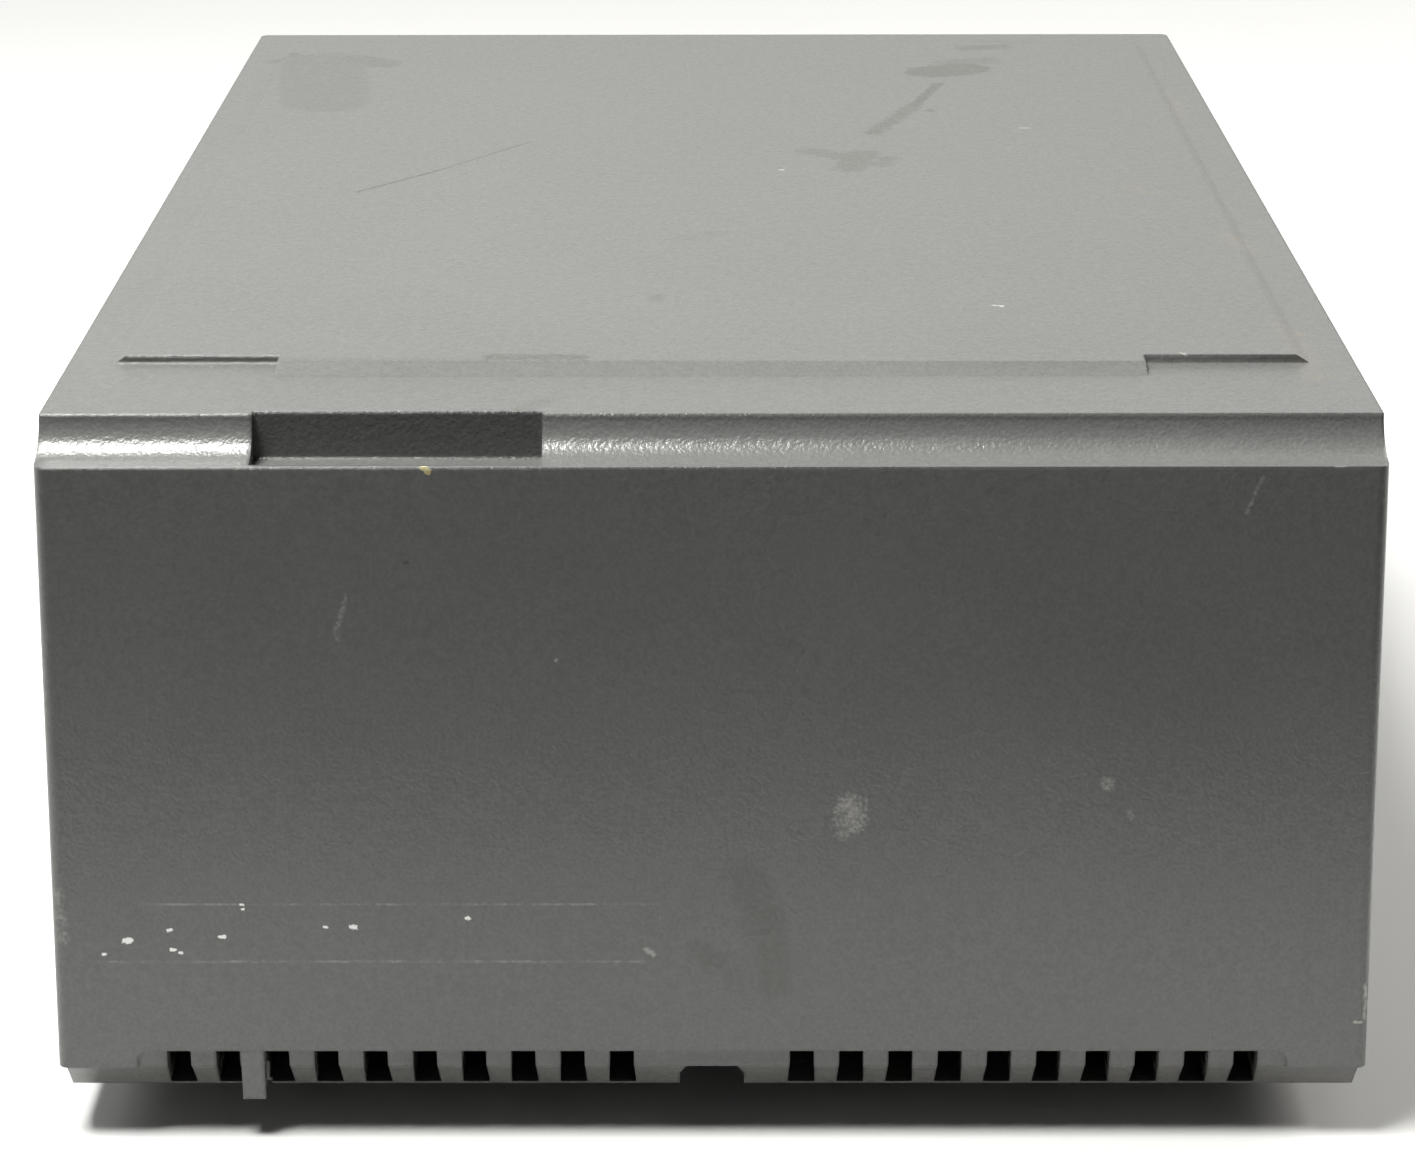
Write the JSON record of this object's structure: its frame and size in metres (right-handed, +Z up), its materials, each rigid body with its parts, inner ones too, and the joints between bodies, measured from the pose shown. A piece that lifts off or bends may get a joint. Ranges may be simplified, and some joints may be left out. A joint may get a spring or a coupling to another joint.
{
  "type": "direct injection box",
  "caption": "Desk-top mains powered valve direct injection box: drafted cover with a cove and comb vents, base pan, recessed connector panel.",
  "frame": {"origin": "centre of the enclosure's footprint, on the surface that the feet stand on", "axes": "+Z up; -Y out of the blank vented end; +Y out of the recessed connector panel"},
  "size_m": [0.15, 0.211, 0.0864],
  "materials": {
    "cover_moulding": "fine orange peel texture, satin, scuffed",
    "base_moulding": "fine texture, matte",
    "foot_rubber": "matte",
    "panel_paint": "fine powder coat",
    "screw_steel": "zinc plated",
    "black_screws": "black plated",
    "black_moulding": "fine spark texture",
    "plated_brass": "tin plated",
    "fuse_glass": "clear, plated caps",
    "rocker_moulding": "gloss",
    "shell_metal": "satin nickel",
    "contact_gold": "gold flash",
    "jack_nylon": "satin",
    "nut_plate": "bright nickel",
    "switch_case": "plated",
    "slider_moulding": "satin",
    "lamp_lens": "diffused",
    "earth_insulation": "satin",
    "board_laminate": "solder mask",
    "socket_ceramic": "glazed",
    "valve_glass": "clear",
    "electrode_metal": "carbonised",
    "capacitor_sleeve": "shrunk sleeve",
    "film_case": "moulded",
    "resistor_lacquer": "lacquer",
    "can_metal": "drawn, plated",
    "sink_metal": "black anodised",
    "connector_nylon": "natural nylon",
    "core_steel": "varnished laminations",
    "winding_tape": "taped copper winding",
    "mains_insulation": "satin",
    "signal_insulation": "satin"
  },
  "bodies": {
    "enclosure": {"base_pan": "base_moulding", "board_screws": "screw_steel", "bridge_rectifier": "black_moulding", "coupling_capacitors": "film_case", "cover_screws": "screw_steel", "earth_lead": "earth_insulation", "earth_stud": "plated_brass", "feet": "foot_rubber", "filter_capacitors": "capacitor_sleeve", "ground_lift_switch": "switch_case", "heat_sink": "sink_metal", "inlet_pins": "plated_brass", "inlet_screws": "black_screws", "input_jack": "jack_nylon", "input_jack_contacts": "plated_brass", "input_jack_nut": "nut_plate", "input_leads": "signal_insulation", "lamp_bezel": "nut_plate", "link_jack": "jack_nylon", "link_jack_contacts": "plated_brass", "link_jack_nut": "nut_plate", "main_board": "board_laminate", "mains_inlet": "black_moulding", "mains_leads": "mains_insulation", "output_insert": "black_moulding", "output_leads": "signal_insulation", "output_pins": "contact_gold", "output_screws": "black_screws", "output_shell": "shell_metal", "output_transformer": "can_metal", "pad_switch": "switch_case", "panel_screws": "black_screws", "polarity_switch": "switch_case", "power_lamp": "lamp_lens", "power_switch": "black_moulding", "primary_leads": "mains_insulation", "rear_panel": "panel_paint", "regulator": "black_moulding", "resistors": "resistor_lacquer", "secondary_leads": "signal_insulation", "slide_switch_screws": "black_screws", "switch_tags": "plated_brass", "top_cover": "cover_moulding", "transformer_bobbin": "connector_nylon", "transformer_core": "core_steel", "transformer_screws": "screw_steel", "transformer_strap": "can_metal", "transformer_winding": "winding_tape", "valve_electrodes": "electrode_metal", "valve_glass": "valve_glass", "valve_pins": "nut_plate", "valve_socket": "socket_ceramic", "wire_connectors": "connector_nylon"},
    "power_rocker": {"power_rocker": "rocker_moulding"},
    "fuse_drawer": {"fuse_drawer": "black_moulding", "fuse": "fuse_glass"},
    "pad_slider": {"pad_slider": "slider_moulding"},
    "ground_lift_slider": {"ground_lift_slider": "slider_moulding"},
    "polarity_slider": {"polarity_slider": "slider_moulding"}
  },
  "joints": [
    {"name": "power_rocker_tip", "type": "hinge", "parent": "enclosure", "child": "power_rocker", "pos_m": [0.0358, 0.0922, 0.063], "axis": [1, 0, 0], "range_deg": [-24, 0]},
    {"name": "fuse_drawer_slide", "type": "slide", "parent": "enclosure", "child": "fuse_drawer", "axis": [0, 1, 0], "range_m": [0, 0.015]},
    {"name": "pad_slide", "type": "slide", "parent": "enclosure", "child": "pad_slider", "axis": [1, 0, 0], "range_m": [0, 0.008]},
    {"name": "ground_lift_slide", "type": "slide", "parent": "enclosure", "child": "ground_lift_slider", "axis": [1, 0, 0], "range_m": [0, 0.004]},
    {"name": "polarity_slide", "type": "slide", "parent": "enclosure", "child": "polarity_slider", "axis": [1, 0, 0], "range_m": [0, 0.004]}
  ]
}
